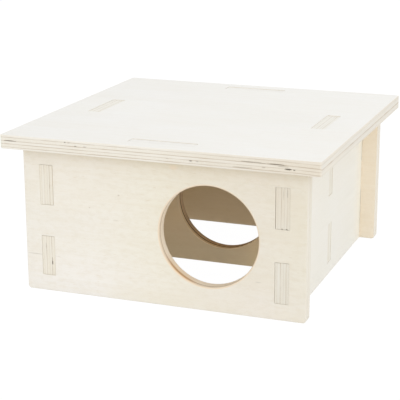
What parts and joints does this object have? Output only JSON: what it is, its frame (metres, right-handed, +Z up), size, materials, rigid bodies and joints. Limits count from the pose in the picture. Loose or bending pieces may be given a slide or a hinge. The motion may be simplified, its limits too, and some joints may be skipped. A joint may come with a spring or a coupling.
{
  "type": "wooden hamster house",
  "caption": "Low square knock-down house of slotted plywood boards with a round entrance, an inner passage wall and a lift-off flat roof.",
  "frame": {"origin": "on the ground under the middle of the roof", "axes": "+Z up, -Y towards the entrance side, +X to the right seen from the entrance side"},
  "size_m": [0.2502, 0.2502, 0.1244],
  "materials": {
    "wall_plywood": "untreated pale plywood, fine straight grain, sanded, plies bare on the cut edges",
    "roof_plywood": "untreated pale plywood, very light face, plies bare on the cut edges"
  },
  "bodies": {
    "walls": {"front_wall": "wall_plywood", "back_wall": "wall_plywood", "left_wall": "wall_plywood", "right_wall": "wall_plywood", "partition": "wall_plywood"},
    "roof": {"roof": "roof_plywood"}
  },
  "joints": [
    {"name": "roof_lift", "type": "slide", "parent": "walls", "child": "roof", "axis": [0, 0, 1], "range_m": [0, 0.08]}
  ]
}
